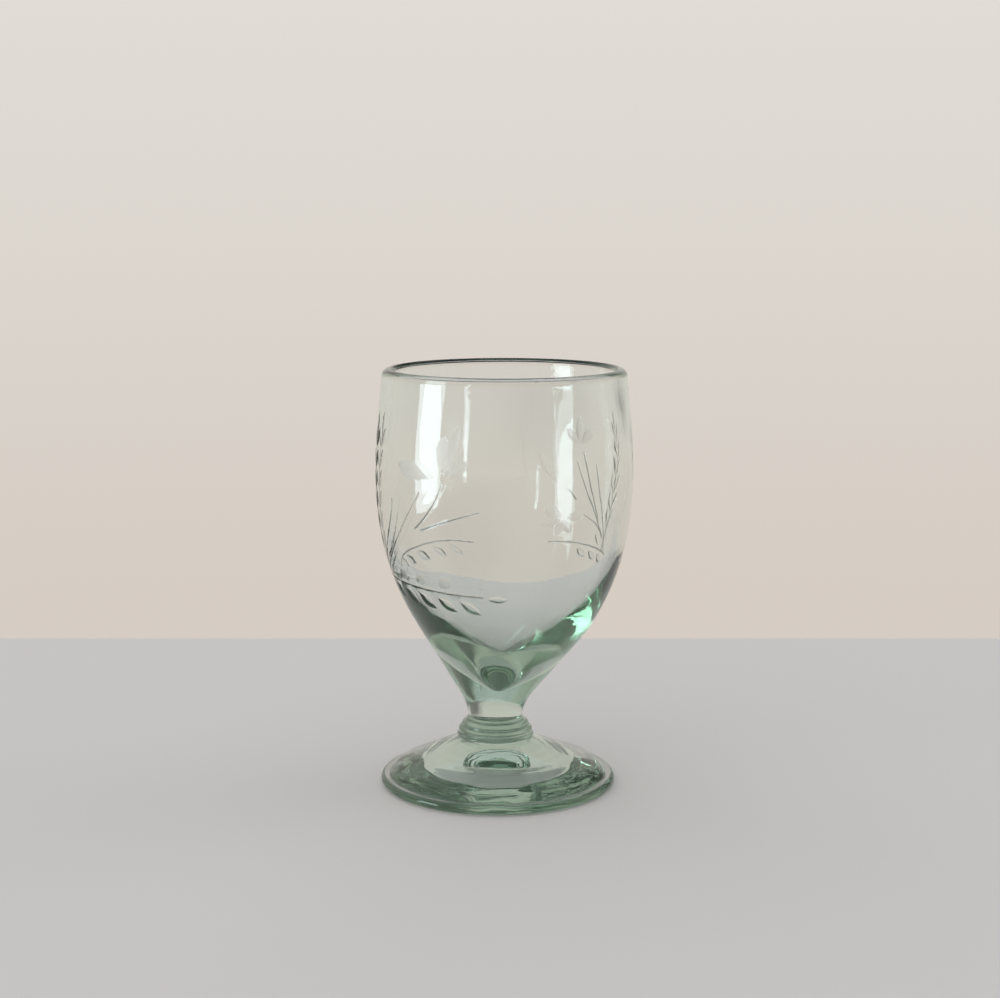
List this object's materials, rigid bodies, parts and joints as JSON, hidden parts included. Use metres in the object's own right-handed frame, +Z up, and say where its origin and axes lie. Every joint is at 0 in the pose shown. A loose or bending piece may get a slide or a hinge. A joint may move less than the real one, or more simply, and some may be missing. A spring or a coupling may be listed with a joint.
{
  "type": "footed glass",
  "caption": "Hand-blown pale green footed drinking glass: deep round bowl on a solid cone, short pinched stem, flared collar and low conical foot.",
  "frame": {"origin": "on the surface the glass stands on, below the axis of the bowl, at the centre of the bounding box's base", "axes": "+Z up along the bowl's axis, +X to the right as pictured, -Y towards the viewer"},
  "size_m": [0.081, 0.081, 0.133],
  "materials": {
    "bowl_glass": "clear, pale green, glossy",
    "stem_glass": "clear, pale green, glossy",
    "collar_glass": "clear, green, glossy",
    "foot_glass": "clear, green, glossy"
  },
  "bodies": {
    "root": {"bowl": "bowl_glass", "stem": "stem_glass", "collar": "collar_glass", "foot": "foot_glass"}
  },
  "joints": []
}
